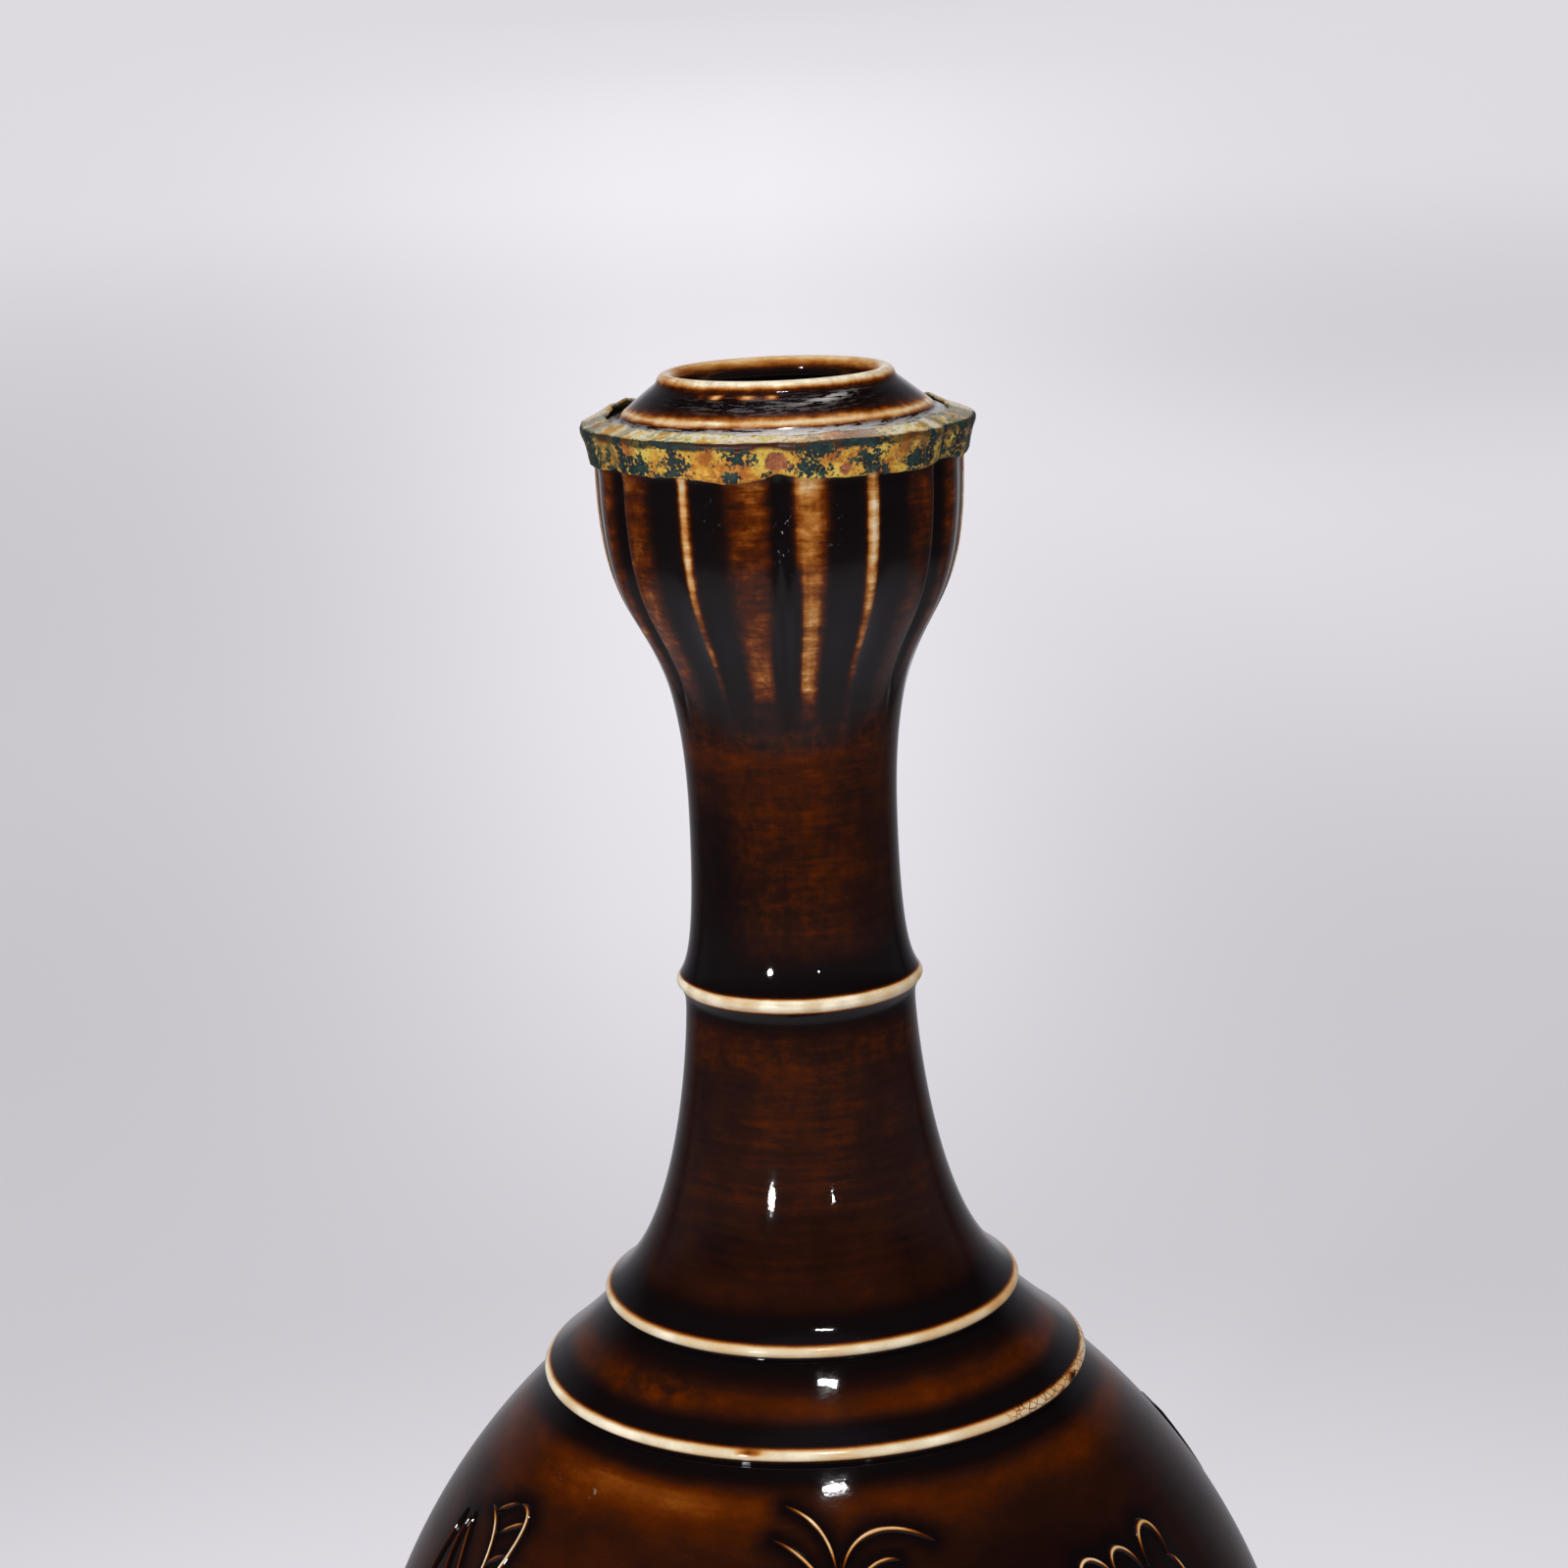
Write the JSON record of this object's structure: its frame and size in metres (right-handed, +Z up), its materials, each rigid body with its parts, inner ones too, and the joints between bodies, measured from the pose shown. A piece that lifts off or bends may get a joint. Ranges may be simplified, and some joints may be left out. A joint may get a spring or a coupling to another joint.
{
  "type": "garlic-head vase",
  "caption": "Tall brown-glazed bottle vase with a ribbed garlic-bulb head, raised rings, relief sprays on the body and a folded metal band round the head.",
  "frame": {"origin": "centre of the standing rim, on the surface that the vase stands on", "axes": "+Z up along the axis to the mouth, -Y towards the front"},
  "size_m": [0.142, 0.142, 0.3],
  "materials": {
    "brown_glaze": "glossy brown iron glaze, cream where it runs thin over ribs and rings",
    "gilt_copper": "worn gilding with green corrosion"
  },
  "bodies": {
    "root": {"vase": "brown_glaze", "rim_band": "gilt_copper"}
  },
  "joints": []
}
